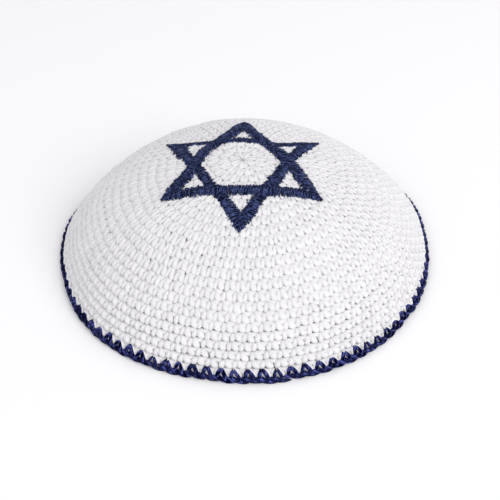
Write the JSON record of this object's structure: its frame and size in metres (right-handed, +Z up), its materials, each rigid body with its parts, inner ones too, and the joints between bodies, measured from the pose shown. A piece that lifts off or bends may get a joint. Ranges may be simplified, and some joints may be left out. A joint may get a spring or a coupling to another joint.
{
  "type": "kippah skullcap",
  "caption": "Shallow domed skullcap crocheted in rounds from thick cotton, with a toothed contrast edging and a six-pointed star embroidered over the crown.",
  "frame": {"origin": "centre of the plane that the rim rests on", "axes": "+Z up through the centre of the crown, -Y towards the wearer's forehead, +X to the wearer's left"},
  "size_m": [0.1717, 0.1695, 0.0528],
  "materials": {
    "white_cotton": "matt cotton yarn, crocheted in rounds",
    "navy_yarn": "matt cotton yarn, one round of edging stitches",
    "navy_thread": "slightly glossy embroidery thread in satin stitch"
  },
  "bodies": {
    "root": {"crown": "white_cotton", "edging": "navy_yarn", "star_embroidery": "navy_thread"}
  },
  "joints": []
}
